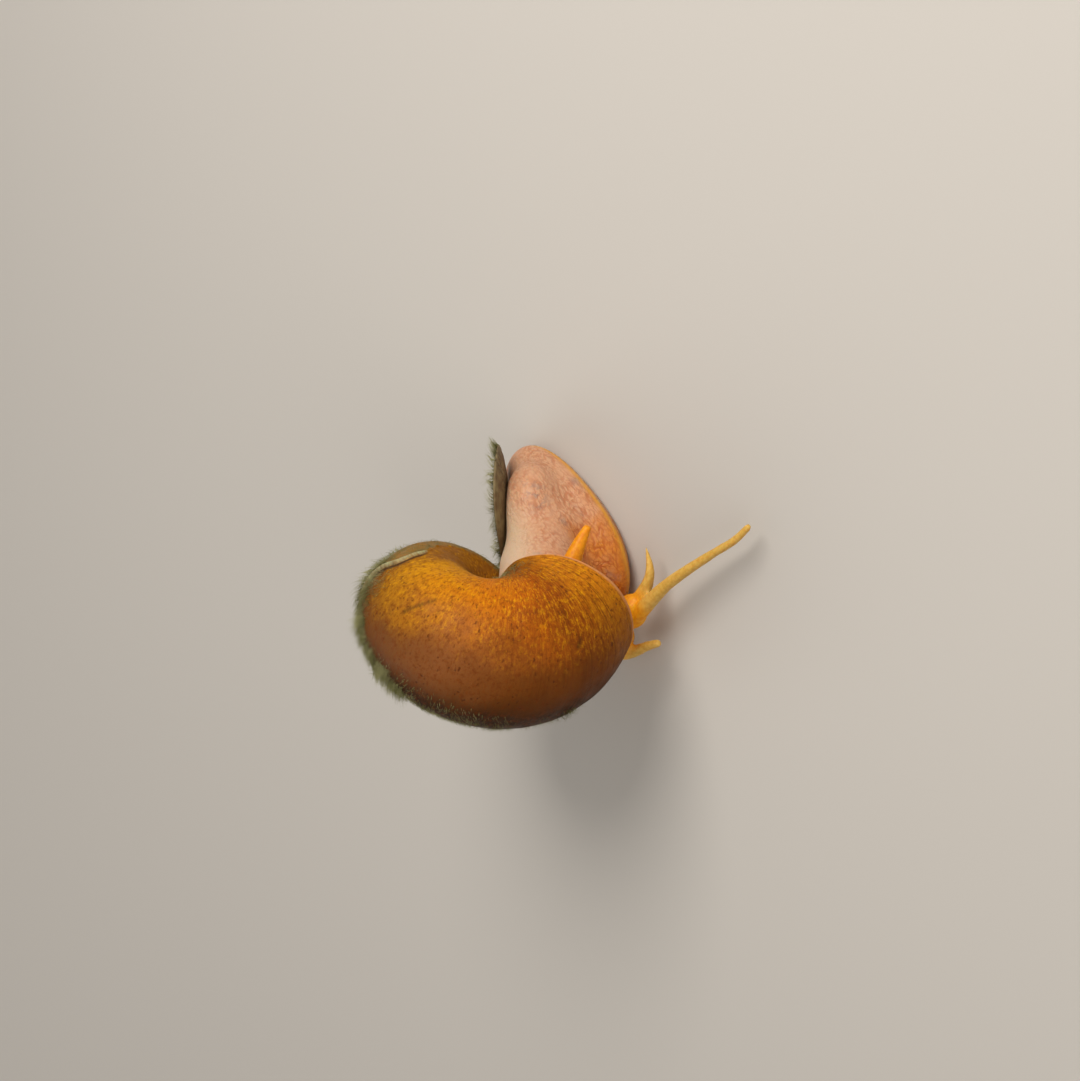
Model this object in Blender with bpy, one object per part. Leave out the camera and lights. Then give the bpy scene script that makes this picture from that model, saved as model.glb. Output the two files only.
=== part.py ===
"""A life-size apple snail on its flat sole, the shell tipped forward over the head.

The snail faces -Y, its left side is +X and the floor is Z = 0 under the middle of the sole.
Sizes and places are in millimetres, and every mesh is scaled to metres when it becomes an object.
"""

import math

import bmesh
import bpy
from mathutils import Euler, Matrix, Vector

MM = 0.001
GAP = 0.3

# The shell: a tube of oval section coiled to the right round an axis, growing by one factor a turn.
WHORL_GROWTH = 1.86
TUBE_FROM_AXIS = 11.05
TUBE_HALF_WIDTH = 11.75
TUBE_HALF_HEIGHT = 13.36
TUBE_BELOW_APEX = 28.9
TUBE_TILT = math.radians(-11.9)
LIP_LEAD = math.radians(7.0)
LIP_SKEW = math.radians(4.2)
NAVEL_RADIUS = 0.6
COLUMELLA_TAPER = 0.055
COLUMELLA_LENGTH = 29.0
SPIRE_SINK = 3.0
WHORLS = 4.6
SHELL_WALL = 1.2
MOUTH_DEPTH = 0.3
SHELL_APEX = Vector((-25.1, -7.85, 28.15))
SHELL_TURN = Euler((math.radians(81.0), math.radians(33.8), math.radians(-90.3)))

# The foot: an oval sole with an upturned margin, a low back, and the stalk that enters the shell.
SOLE_HALF_WIDTH = 11.1
SOLE_FRONT = 15.1
SOLE_REAR = 17.7
SOLE_OVAL = 2.2
TAIL_BEND = 1.6
SOLE_BELOW_FLOOR = 3.0
MARGIN_UNDERCUT = 2.6
MARGIN_HEIGHT = 2.6
FOOT_BACK_HEIGHT = 10.5
STALK_PATH = ((0.3, 0.0, 5.0), (1.1, -3.0, 10.6), (2.4, -7.6, 15.0), (3.4, -12.0, 20.0))
STALK_RADII = (9.6, 8.8, 8.6, 8.6)
STALK_FLATNESS = 0.8
BACK_CENTRE = Vector((1.6, 1.6, 8.0))
BACK_RADII = (8.4, 8.6, 4.8)

# The operculum: a thin oval plate on the hind part of the foot's back.
OPERCULUM_CENTRE = Vector((1.4, 8.3, 10.9))
OPERCULUM_LENGTH_AXIS = Vector((0.686, 0.716, -0.126))
OPERCULUM_NORMAL = Vector((-0.462, 0.549, 0.706))
OPERCULUM_HALF_LENGTH = 10.4
OPERCULUM_HALF_WIDTH = 7.6
OPERCULUM_THICKNESS = 0.9
OPERCULUM_DISH = 0.8

# The head: a short neck out of the shell's mouth, a rounded head and a snout bent to the floor.
NECK_PATH = ((3.4, -15.6, 19.0), (2.4, -16.0, 14.5), (0.8, -16.6, 10.0), (0.2, -17.4, 7.0))
NECK_RADII = (6.4, 5.8, 4.8, 4.2)
HEAD_CENTRE = Vector((-0.4, -17.5, 7.5))
HEAD_RADII = (4.5, 4.3, 4.0)
SNOUT_CENTRE = Vector((-2.9, -17.4, 3.9))
SNOUT_RADII = (3.2, 2.9, 2.8)
CHEEK_CENTRE = Vector((4.9, -17.7, 5.0))
CHEEK_RADII = (3.0, 2.8, 2.2)
MOUTH_LENGTH = 2.6
MOUTH_WIDTH = 0.7

# The feelers, each a path from its root in the head to its tip, with its radii.
LEFT_TENTACLE_PATH = (
    (2.5, -18.8, 5.6), (8.4, -19.4, 5.4), (14.6, -20.2, 5.1), (20.6, -21.7, 4.6),
    (26.4, -23.4, 4.1), (30.9, -24.8, 3.8), (34.8, -25.3, 3.5),
)
LEFT_TENTACLE_RADII = (1.5, 1.25, 1.0, 0.82, 0.7, 0.62, 0.52)
RIGHT_TENTACLE_PATH = (
    (-3.0, -19.0, 6.4), (-1.7, -21.1, 5.6), (0.3, -22.2, 5.0), (2.5, -23.1, 4.6), (4.9, -24.4, 4.2),
)
RIGHT_TENTACLE_RADII = (1.25, 1.05, 0.92, 0.78, 0.62)
LEFT_PALP_PATH = (
    (3.0, -18.0, 4.4), (7.0, -17.4, 4.2), (11.0, -16.7, 4.0), (12.9, -15.3, 3.7), (14.5, -12.6, 3.3),
)
LEFT_PALP_RADII = (1.7, 1.4, 0.9, 0.65, 0.3)
RIGHT_PALP_PATH = ((-4.6, -17.6, 3.8), (-7.0, -17.8, 3.5), (-9.8, -16.8, 3.0), (-11.2, -14.4, 2.4))
RIGHT_PALP_RADII = (1.5, 1.3, 0.9, 0.3)
TENTACLE_LENGTHS = 3

# The eyes, each on a short stalk behind the root of its tentacle.
LEFT_EYE = Vector((6.2, -18.4, 8.7))
RIGHT_EYE = Vector((-5.6, -18.6, 9.2))
EYE_RADIUS = 0.75
EYESTALK_RADIUS = 1.05

# The folds of the mantle cavity: the breathing siphon on the left and a small lobe on the right.
SIPHON_PATH = ((8.0, -12.5, 17.5), (11.4, -10.6, 16.0), (14.3, -8.9, 14.3), (17.1, -7.5, 12.5))
SIPHON_RADII = (2.0, 1.6, 1.15, 0.6)
LOBE_PATH = ((-4.0, -14.0, 15.5), (-7.0, -13.5, 13.5), (-8.4, -13.0, 11.5))
LOBE_RADII = (2.2, 1.8, 0.9)


def clear_scene():
    """Remove whatever the file holds, so that only the snail is in it."""
    for old in list(bpy.data.objects):
        bpy.data.objects.remove(old, do_unlink=True)


def material(name, colour, roughness):
    """A matte or waxy Principled finish."""
    finish = bpy.data.materials.new(name)
    finish.use_nodes = True
    shader = finish.node_tree.nodes["Principled BSDF"]
    shader.inputs["Base Color"].default_value = (*colour, 1.0)
    shader.inputs["Roughness"].default_value = roughness
    shader.inputs["Metallic"].default_value = 0.0
    return finish


def closed_surface(name, surface, steps, sides):
    """A closed mesh from surface(u, v), where v goes once round and u runs from end to end."""
    shape = bmesh.new()
    bmesh.ops.create_grid(shape, x_segments=steps, y_segments=sides, size=0.5)
    for vertex in shape.verts:
        vertex.co = surface(vertex.co.x + 0.5, vertex.co.y + 0.5) * MM
    bmesh.ops.remove_doubles(shape, verts=shape.verts, dist=0.004 * MM)
    bmesh.ops.holes_fill(shape, edges=[edge for edge in shape.edges if edge.is_boundary], sides=0)
    bmesh.ops.triangulate(shape, faces=shape.faces)
    bmesh.ops.recalc_face_normals(shape, faces=shape.faces)
    mesh = bpy.data.meshes.new(name)
    shape.to_mesh(mesh)
    shape.free()
    piece = bpy.data.objects.new(name, mesh)
    bpy.context.scene.collection.objects.link(piece)
    return piece


def apply_modifiers(piece):
    """Keep the shape that the modifiers give, and drop the modifiers."""
    evaluated = piece.evaluated_get(bpy.context.evaluated_depsgraph_get())
    mesh = bpy.data.meshes.new_from_object(evaluated)
    piece.modifiers.clear()
    piece.data = mesh


def keep_largest(piece):
    """Drop every closed surface but the one that holds the most."""
    shape = bmesh.new()
    shape.from_mesh(piece.data)
    shape.normal_update()
    unseen = set(shape.faces)
    shells = []
    while unseen:
        found = [unseen.pop()]
        for face in found:
            for edge in face.edges:
                for other in edge.link_faces:
                    if other in unseen:
                        unseen.remove(other)
                        found.append(other)
        volume = sum(face.calc_area() * face.normal.dot(face.calc_center_median()) for face in found)
        shells.append((volume, found))
    shells.sort(key=lambda shell: shell[0])
    for _, scrap in shells[:-1]:
        bmesh.ops.delete(shape, geom=scrap, context="FACES")
    shape.to_mesh(piece.data)
    shape.free()


def soften(piece, voxel, rounds, triangles):
    """Melt the creases of a joined piece, cut it off flat at the floor and thin its faces out."""
    remesh = piece.modifiers.new("remesh", "REMESH")
    remesh.mode = "VOXEL"
    remesh.voxel_size = voxel * MM
    smooth = piece.modifiers.new("smooth", "SMOOTH")
    smooth.factor = 0.5
    smooth.iterations = rounds
    apply_modifiers(piece)
    shape = bmesh.new()
    shape.from_mesh(piece.data)
    everything = [*shape.verts, *shape.edges, *shape.faces]
    up = (0, 0, 1)
    bmesh.ops.bisect_plane(shape, geom=everything, plane_co=(0, 0, 0), plane_no=up, clear_inner=True)
    bmesh.ops.holes_fill(shape, edges=[edge for edge in shape.edges if edge.is_boundary], sides=0)
    bmesh.ops.triangulate(shape, faces=shape.faces)
    shape.to_mesh(piece.data)
    thin = piece.modifiers.new("thin", "DECIMATE")
    thin.ratio = triangles / len(shape.faces)
    shape.free()
    apply_modifiers(piece)
    for vertex in piece.data.vertices:
        if vertex.co.z < 0.1 * MM:
            vertex.co.z = 0.0
    keep_largest(piece)


def join(name, pieces, solver="EXACT"):
    """One closed body from overlapping closed pieces."""
    body = pieces[0]
    others = bpy.data.collections.new(name + " pieces")
    for piece in pieces[1:]:
        others.objects.link(piece)
    fuse = body.modifiers.new("join", "BOOLEAN")
    fuse.operation = "UNION"
    fuse.operand_type = "COLLECTION"
    fuse.collection = others
    fuse.solver = solver
    apply_modifiers(body)
    for piece in pieces[1:]:
        bpy.data.objects.remove(piece, do_unlink=True)
    bpy.data.collections.remove(others)
    body.name = name
    keep_largest(body)
    return body


def cut(piece, cutter, solver="EXACT"):
    """Take the cutter's space out of the piece, and remove the cutter."""
    carve = piece.modifiers.new("cut", "BOOLEAN")
    carve.operation = "DIFFERENCE"
    carve.object = cutter
    carve.solver = solver
    apply_modifiers(piece)
    bpy.data.objects.remove(cutter, do_unlink=True)
    keep_largest(piece)


def swollen(piece, amount=GAP):
    """A copy of a piece whose surface stands out by the gap between touching parts."""
    cutter = bpy.data.objects.new(piece.name + " swollen", piece.data.copy())
    bpy.context.scene.collection.objects.link(cutter)
    swell = cutter.modifiers.new("swell", "DISPLACE")
    swell.strength = amount * MM
    swell.mid_level = 0.0
    apply_modifiers(cutter)
    return cutter


def clear_of(piece, *neighbours):
    """Trim a piece so that it meets its neighbours face to face.

    A swollen copy can cross itself in a crease, where only the manifold solver still cuts.
    """
    for neighbour in neighbours:
        cut(piece, swollen(neighbour), "MANIFOLD")


def smooth_between(values, t):
    """A value on the smooth line through evenly spaced numbers or points, with t from 0 to 1."""
    spans = len(values) - 1
    place = min(max(t, 0.0), 1.0) * spans
    i = min(int(place), spans - 1)
    f = place - i
    before, here, there, after = (values[min(max(i + k, 0), spans)] for k in (-1, 0, 1, 2))
    slope = (there - before) * 0.5
    next_slope = (after - here) * 0.5
    bend = here * (2 * f**3 - 3 * f**2 + 1) + there * (3 * f**2 - 2 * f**3)
    return bend + slope * (f**3 - 2 * f**2 + f) + next_slope * (f**3 - f**2)


def limb(path, radii, first=0.0, last=1.0, round_tip=True, flatness=1.0):
    """The surface of a tapering limb along a path, from one share of its length to another.

    Where the tip is rounded, the last fifth of the rings close over it as half a ball does.
    """
    points = [Vector(point) for point in path]
    length = sum((b - a).length for a, b in zip(points, points[1:])) * (last - first)
    tip_start = 0.8
    cap = min(radii[-1] / length, 0.5)

    def surface(u, v):
        narrowing = 1.0
        reach = u
        if round_tip and u > tip_start:
            turn = (u - tip_start) / (1.0 - tip_start) * math.pi / 2
            reach = 1.0 - cap + cap * math.sin(turn)
            narrowing = math.cos(turn)
        elif round_tip:
            reach = u / tip_start * (1.0 - cap)
        t = first + (last - first) * reach
        along = smooth_between(points, min(t + 0.01, 1.0)) - smooth_between(points, max(t - 0.01, 0.0))
        ring = along.to_track_quat("Z", "Y")
        radius = smooth_between(radii, t) * narrowing
        around = v * 2 * math.pi
        spoke = Vector((math.cos(around), math.sin(around) * flatness, 0.0))
        return smooth_between(points, t) + ring @ spoke * radius

    return surface


def ball(centre, radii, turn=None):
    """The surface of an ellipsoid."""

    def surface(u, v):
        rise = math.pi * (u - 0.5)
        around = v * 2 * math.pi
        flat = math.cos(rise)
        point = Vector((flat * math.cos(around), flat * math.sin(around), math.sin(rise)))
        point = Vector(a * b for a, b in zip(point, radii))
        return centre + (turn @ point if turn else point)

    return surface


def shell_point(turns, around, inset):
    """A point of the coiled tube, turns before the lip, set in from the outside by inset."""
    reach = LIP_LEAD * (0.5 + 0.5 * math.cos(around)) + LIP_SKEW * math.sin(around)
    angle = turns * 2 * math.pi + reach
    size = WHORL_GROWTH ** (angle / (2 * math.pi))
    out = (TUBE_HALF_WIDTH - inset) * math.cos(around)
    up = (TUBE_HALF_HEIGHT - inset) * math.sin(around)
    radius = TUBE_FROM_AXIS + out * math.cos(TUBE_TILT) - up * math.sin(TUBE_TILT)
    radius = 0.5 * (radius + math.sqrt(radius**2 + 4 * NAVEL_RADIUS**2))
    height = out * math.sin(TUBE_TILT) + up * math.cos(TUBE_TILT) - TUBE_BELOW_APEX
    point = Vector((radius * math.cos(angle), -radius * math.sin(angle), height)) * size
    point.z -= SPIRE_SINK * max(0.0, 1.0 - size * WHORL_GROWTH**0.6) ** 1.5
    return SHELL_APEX + SHELL_TURN.to_matrix() @ point


def coil(name, first, last, inset, steps, sides):
    """A closed length of the coiled tube between two places, in turns before the lip."""
    return closed_surface(
        name,
        lambda u, v: shell_point(first + (last - first) * u, v * 2 * math.pi, inset),
        steps,
        sides,
    )


def columella_point(u, v):
    """The pillar on the coil's axis, from inside the sunken spire down to the navel."""
    top = 1.6 * SPIRE_SINK
    depth = top + (COLUMELLA_LENGTH - top) * u
    radius = COLUMELLA_TAPER * depth
    around = v * 2 * math.pi
    point = Vector((radius * math.cos(around), radius * math.sin(around), -depth))
    return SHELL_APEX + SHELL_TURN.to_matrix() @ point


def make_shell():
    """The body whorl hollowed at its mouth, with the older whorls joined to it solid.

    Every second length is a hair slimmer, so that no two lengths share a surface where they overlap.
    """
    mouth_whorl = coil("shell", -0.62, 0.0, 0.0, 24, 34)
    hollow = coil("mouth hollow", -MOUTH_DEPTH, 0.05, SHELL_WALL, 10, 26)
    cut(mouth_whorl, hollow, "MANIFOLD")
    pieces = [mouth_whorl, closed_surface("columella", columella_point, 6, 10)]
    overlap = 0.04
    length = 0.5
    count = math.ceil((WHORLS - 0.58) / length)
    for i in range(count):
        end = -0.58 - i * length
        slimmer = 0.0 if i % 2 else 0.08
        sides = 30 if i < 3 else 18
        pieces.append(coil("whorl", end - length - overlap, end, slimmer, 10, sides))
    return join("shell", pieces, "MANIFOLD")


def make_mantle(shell):
    """The soft collar that fills the shell's mouth behind the lip."""
    mantle = coil("mantle", -MOUTH_DEPTH + 0.01, -0.03, SHELL_WALL + 1.5 * GAP, 8, 26)
    clear_of(mantle, shell)
    return mantle


def sole_point(u, v):
    """The foot without its stalk: undercut at the margin, tail bent to the left, and carried on
    below the floor, where it is cut off flat once it is smooth.
    """
    around = v * 2 * math.pi
    across, along = math.cos(around), math.sin(around)
    oval = (abs(across) ** SOLE_OVAL + abs(along) ** SOLE_OVAL) ** (-1 / SOLE_OVAL)
    profile = (
        (0.0, -SOLE_BELOW_FLOOR),
        (1.0 - MARGIN_UNDERCUT / SOLE_HALF_WIDTH, -SOLE_BELOW_FLOOR),
        (1.0 - MARGIN_UNDERCUT / SOLE_HALF_WIDTH, 0.0),
        (0.93, 0.45 * MARGIN_HEIGHT),
        (1.0, MARGIN_HEIGHT),
        (0.97, 1.4 * MARGIN_HEIGHT),
        (0.84, MARGIN_HEIGHT + 0.34 * FOOT_BACK_HEIGHT),
        (0.62, MARGIN_HEIGHT + 0.63 * FOOT_BACK_HEIGHT),
        (0.34, MARGIN_HEIGHT + 0.88 * FOOT_BACK_HEIGHT),
        (0.0, MARGIN_HEIGHT + FOOT_BACK_HEIGHT),
    )
    reach, height = profile[round(u * (len(profile) - 1))]
    back = max(0.0, along * oval * reach)
    return Vector((
        across * oval * SOLE_HALF_WIDTH * reach + TAIL_BEND * back**2,
        along * oval * (SOLE_REAR if along > 0.0 else SOLE_FRONT) * reach,
        height,
    ))


def operculum_frame():
    """The plate's axes: across, along and out of the foot's back."""
    along = OPERCULUM_LENGTH_AXIS.normalized()
    out = (OPERCULUM_NORMAL - along * OPERCULUM_NORMAL.dot(along)).normalized()
    return Matrix((along.cross(out), along, out)).transposed()


def operculum_point(u, v):
    """The plate: oval, wider towards its hind end, a little dished, thin at the edge."""
    around = v * 2 * math.pi
    rise = math.pi * (u - 0.5)
    reach = math.cos(rise) ** 0.5 if abs(rise) < math.pi / 2 else 0.0
    along = math.sin(around)
    across = math.cos(around) * (1.0 + 0.25 * along)
    lift = OPERCULUM_DISH * (reach**2 - 0.5)
    thick = 0.5 * OPERCULUM_THICKNESS * math.sin(rise)
    point = Vector((
        across * reach * OPERCULUM_HALF_WIDTH,
        along * reach * OPERCULUM_HALF_LENGTH,
        thick + lift,
    ))
    return OPERCULUM_CENTRE + operculum_frame() @ point


def seat_point(u, v):
    """The room over the foot's back that the plate fills, from inside the plate outwards."""
    reach, lift = ((0.0, -0.3), (1.1, -0.3), (1.1, 9.0), (0.0, 9.0))[round(u * 3)]
    around = v * 2 * math.pi
    along = math.sin(around)
    across = math.cos(around) * (1.0 + 0.25 * along)
    point = Vector((
        across * reach * OPERCULUM_HALF_WIDTH, along * reach * OPERCULUM_HALF_LENGTH, lift
    ))
    return OPERCULUM_CENTRE + operculum_frame() @ point


def make_foot(shell, mantle, operculum):
    """The sole, its back, the pad that carries the operculum and the stalk, as one muscle."""
    sole = closed_surface("foot", sole_point, 9, 40)
    stalk_surface = limb(STALK_PATH, STALK_RADII, round_tip=False, flatness=STALK_FLATNESS)
    stalk = closed_surface("stalk", stalk_surface, 10, 28)
    frame = operculum_frame()
    pad_centre = OPERCULUM_CENTRE - frame @ Vector((0.0, 1.2, 5.0))
    pad = closed_surface("pad", ball(pad_centre, (8.0, 9.0, 5.6), frame), 12, 24)
    back = closed_surface("back", ball(BACK_CENTRE, BACK_RADII), 10, 24)
    foot = join("foot", [sole, stalk, pad, back])
    cut(foot, closed_surface("seat", seat_point, 3, 28))
    soften(foot, 0.45, 60, 2600)
    clear_of(foot, mantle, operculum, shell)
    return foot


def make_head():
    """The head, with the snout bent down from it and the cheek that the left feelers grow on."""
    core = closed_surface("head", ball(HEAD_CENTRE, HEAD_RADII), 12, 22)
    snout = closed_surface("snout", ball(SNOUT_CENTRE, SNOUT_RADII), 10, 18)
    cheek = closed_surface("cheek", ball(CHEEK_CENTRE, CHEEK_RADII), 10, 18)
    head = join("head", [core, snout, cheek])
    soften(head, 0.3, 12, 1200)
    mouth_at = SNOUT_CENTRE + Vector((-0.6, -0.75 * SNOUT_RADII[1], -0.62 * SNOUT_RADII[2]))
    mouth = closed_surface("mouth", ball(mouth_at, (MOUTH_WIDTH / 2, MOUTH_LENGTH / 2, 1.0)), 8, 12)
    cut(head, mouth)
    return head


def make_tentacle(side, path, radii, head):
    """One tentacle in a few lengths, the first of them rooted in the head."""
    lengths = []
    reach = sum((Vector(b) - Vector(a)).length for a, b in zip(path, path[1:]))
    for i in range(TENTACLE_LENGTHS):
        first = i / TENTACLE_LENGTHS + (GAP / reach if i else 0.0)
        last = (i + 1) / TENTACLE_LENGTHS
        tip = i == TENTACLE_LENGTHS - 1
        name = f"tentacle_{side}_{i + 1}"
        piece = closed_surface(name, limb(path, radii, first, last, tip), 8, 10)
        clear_of(piece, head)
        lengths.append(piece)
    return lengths


def make_eye(side, centre, head):
    """A small round eye on the blunt end of its stalk."""
    eye = closed_surface(f"eye_{side}", ball(centre, (EYE_RADIUS,) * 3), 8, 12)
    out = (centre - HEAD_CENTRE).normalized()
    root = HEAD_CENTRE + (centre - HEAD_CENTRE) * 0.55
    end = centre - out * 0.65 * EYE_RADIUS
    path = (root, (root + end) / 2, end)
    radii = (EYESTALK_RADIUS * 1.25, EYESTALK_RADIUS * 1.1, EYESTALK_RADIUS)
    stalk = closed_surface(f"eyestalk_{side}", limb(path, radii, round_tip=False), 5, 12)
    clear_of(stalk, head, eye)
    return stalk, eye


def paint(pieces, finish):
    """Give pieces one finish and smooth shading, with the sharp edges kept."""
    for piece in pieces:
        piece.data.materials.clear()
        piece.data.materials.append(finish)
        piece.data.shade_smooth()
        piece.data.set_sharp_from_angle(angle=math.radians(50))


clear_scene()

shell = make_shell()
mantle = make_mantle(shell)
operculum = closed_surface("operculum", operculum_point, 6, 28)
clear_of(operculum, shell)
foot = make_foot(shell, mantle, operculum)

head = make_head()
clear_of(head, foot)
neck = closed_surface("neck", limb(NECK_PATH, NECK_RADII, round_tip=False), 8, 20)
clear_of(neck, mantle, foot, head, shell)

left_tentacle = make_tentacle("left", LEFT_TENTACLE_PATH, LEFT_TENTACLE_RADII, head)
right_tentacle = make_tentacle("right", RIGHT_TENTACLE_PATH, RIGHT_TENTACLE_RADII, head)
left_palp = closed_surface("palp_left", limb(LEFT_PALP_PATH, LEFT_PALP_RADII), 16, 10)
right_palp = closed_surface("palp_right", limb(RIGHT_PALP_PATH, RIGHT_PALP_RADII), 12, 10)
clear_of(left_palp, head, left_tentacle[0], foot)
clear_of(right_palp, head, foot)

left_stalk, left_eye = make_eye("left", LEFT_EYE, head)
right_stalk, right_eye = make_eye("right", RIGHT_EYE, head)
clear_of(left_stalk, neck, left_tentacle[0])
clear_of(right_stalk, neck)

siphon = closed_surface("siphon", limb(SIPHON_PATH, SIPHON_RADII), 10, 14)
lobe = closed_surface("nuchal_lobe_right", limb(LOBE_PATH, LOBE_RADII), 10, 14)
for fold in (siphon, lobe):
    clear_of(fold, shell, mantle, foot, neck)

paint([shell], material("shell", (0.45, 0.20, 0.03), 0.45))
paint([operculum], material("operculum", (0.12, 0.09, 0.05), 0.7))
paint([foot, neck], material("foot flesh", (0.75, 0.45, 0.33), 0.5))
paint([mantle, siphon, lobe, head], material("head flesh", (0.80, 0.36, 0.10), 0.5))
paint(
    [*left_tentacle, *right_tentacle, left_palp, right_palp, left_stalk, right_stalk],
    material("feeler flesh", (0.80, 0.52, 0.20), 0.5),
)
paint([left_eye, right_eye], material("eye", (0.02, 0.015, 0.01), 0.2))
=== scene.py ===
"""A life-size apple snail standing on its sole, dressed in shell, skin and algae.

The snail faces -Y with its left side at +X, and the floor is Z = 0. The scene is in metres, and
sizes that are given in millimetres are turned into metres by MM.
"""

import math
import random

import bmesh
import bpy
import numpy as np
from mathutils import Euler, Matrix, Vector, noise
from mathutils.bvhtree import BVHTree


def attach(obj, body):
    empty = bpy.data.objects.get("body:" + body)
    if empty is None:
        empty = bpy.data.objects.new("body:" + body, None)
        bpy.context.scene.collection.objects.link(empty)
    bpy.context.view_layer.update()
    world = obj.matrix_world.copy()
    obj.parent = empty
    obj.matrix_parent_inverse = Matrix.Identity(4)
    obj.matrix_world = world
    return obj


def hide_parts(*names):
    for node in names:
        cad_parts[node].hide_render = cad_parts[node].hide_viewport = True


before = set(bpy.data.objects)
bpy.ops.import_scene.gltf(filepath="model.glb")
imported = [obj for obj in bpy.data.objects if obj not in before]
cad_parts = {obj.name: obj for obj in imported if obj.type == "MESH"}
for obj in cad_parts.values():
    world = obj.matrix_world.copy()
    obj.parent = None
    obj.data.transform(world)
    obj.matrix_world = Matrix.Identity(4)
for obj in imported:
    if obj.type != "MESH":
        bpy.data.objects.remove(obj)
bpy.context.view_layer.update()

# The shell: a tube of horn and lime that coils to the right and grows at its lip. It is drawn row
# by row round the coil's axis from the worn apex to the lip, over the rim and back into the mouth,
# with the growth lines, the shallow dents and one old lip standing out of it.
MM = 0.001
MERGE_WITHIN = 0.000004
WHORL_GROWTH = 1.86
TUBE_FROM_AXIS = 11.05
TUBE_HALF_WIDTH = 11.75
TUBE_HALF_HEIGHT = 13.36
TUBE_BELOW_APEX = 28.9
TUBE_TILT = math.radians(-11.9)
LIP_LEAD = math.radians(7.0)
LIP_SKEW = math.radians(4.2)
NAVEL_RADIUS = 0.6
SPIRE_SINK = 3.0
SPIRE_SINKS_FROM = 0.6
SHELL_APEX = Vector((-25.1, -7.85, 28.15))
SHELL_TURN = Euler((math.radians(81.0), math.radians(33.8), math.radians(-90.3))).to_matrix()
APEX_TURNS = -4.6
RIM_TURNS = 0.004
RIM_THICKNESS = 0.75
HOLLOW_END = -0.31
HOLLOW_THICKENING = 0.3
SHELL_ROWS = (
    (APEX_TURNS, 0), (-1.75, 100), (-0.8, 180), (-0.56, 220), (-0.43, 330), (-0.12, 450),
    (-RIM_TURNS, 510),
)
RIM_ROWS = 8
HOLLOW_ROWS = 36
SHELL_SIDES = 150
LINES_A_TURN = 95
LINE_HEIGHT = 0.035
RIBS_A_TURN = 30
RIB_HEIGHT = 0.07
DENTS_A_MM = 0.22
DENT_DEPTH = 0.12
OLD_LIP = -0.485
OLD_LIP_HEIGHT = 0.7
OLD_LIP_WIDTH = 0.010
OLD_LIP_WAVER = 0.003
OLD_LIP_BOW = 0.019
BOW_AT = -33
BOW_WIDTH = 18
SET_BACK = 0.25
SET_BACK_BELOW = (54, 74)
SET_BACK_ABOVE = (100, 180)
STEP_DEPTH = 0.2
STEP_WIDTH = 0.006
CHALK_AT = -0.0036
CHALK_WIDTH = 0.0036
LIP_SHADOW_AT = 0.0070
LIP_SHADOW_WIDTH = 0.0055
SCRATCHES = (
    ((-0.362, -18), (-0.350, -30)), ((-0.350, -30), (-0.334, -43)), ((-0.107, -31), (-0.100, -37)),
)
SCRATCH_WIDTH = 0.0027
DEGREES_LIKE_A_TURN = 500


def on_coil(turns, around, inset=0.0):
    """A point of the tube, turns before the lip and around its section, set in by inset mm."""
    reach = LIP_LEAD * (0.5 + 0.5 * math.cos(around)) + LIP_SKEW * math.sin(around)
    angle = turns * 2 * math.pi + reach
    size = WHORL_GROWTH ** (angle / (2 * math.pi))
    out = (TUBE_HALF_WIDTH - inset) * math.cos(around)
    up = (TUBE_HALF_HEIGHT - inset) * math.sin(around)
    radius = TUBE_FROM_AXIS + out * math.cos(TUBE_TILT) - up * math.sin(TUBE_TILT)
    radius = 0.5 * (radius + math.sqrt(radius**2 + 4 * NAVEL_RADIUS**2))
    height = out * math.sin(TUBE_TILT) + up * math.cos(TUBE_TILT) - TUBE_BELOW_APEX
    point = Vector((radius * math.cos(angle), -radius * math.sin(angle), height)) * size
    point.z -= SPIRE_SINK * max(0.0, 1.0 - size * WHORL_GROWTH**SPIRE_SINKS_FROM) ** 1.5
    return (SHELL_APEX + SHELL_TURN @ point) * MM


def smooth_step(value, low, high):
    """0 below low, 1 above high and smooth between."""
    share = min(1.0, max(0.0, (value - low) / (high - low)))
    return share * share * (3 - 2 * share)


def set_back(around):
    """How far the old lip lies back towards the navel, where it was thin and left no ridge."""
    degrees = math.degrees(around)
    if degrees < 0:
        return smooth_step(-degrees, *SET_BACK_BELOW)
    return smooth_step(degrees, *SET_BACK_ABOVE)


def old_lip_at(around):
    """Where the old lip runs, which wavers a little round the tube."""
    waver = noise.noise(Vector((math.cos(around), math.sin(around), 0.0)) * 2.0)
    bow = OLD_LIP_BOW * math.exp(-(((math.degrees(around) - BOW_AT) / BOW_WIDTH) ** 2))
    return OLD_LIP + bow + OLD_LIP_WAVER * waver - SET_BACK * set_back(around)


def shell_relief(turns, around):
    """How far the surface stands out from the smooth tube there, in mm."""
    round_tube = Vector((0.0, math.cos(around), math.sin(around)))
    lines = noise.noise(Vector((turns * LINES_A_TURN, 0, 0)) + round_tube * 1.6)
    ribs = noise.noise(Vector((turns * RIBS_A_TURN, 7, 0)) + round_tube * 1.1)
    dents = noise.noise(on_coil(turns, around) / MM * DENTS_A_MM)
    rise = LINE_HEIGHT * lines + RIB_HEIGHT * ribs + DENT_DEPTH * dents
    beyond = turns - old_lip_at(around)
    crisp = 1.0 - set_back(around)
    if beyond < 0:
        rise += OLD_LIP_HEIGHT * crisp * math.exp(beyond / OLD_LIP_WIDTH)
    else:
        rise -= STEP_DEPTH * crisp * math.exp(-beyond / STEP_WIDTH)
    return rise * min(1.0, (turns - APEX_TURNS) * 0.8)


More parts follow.
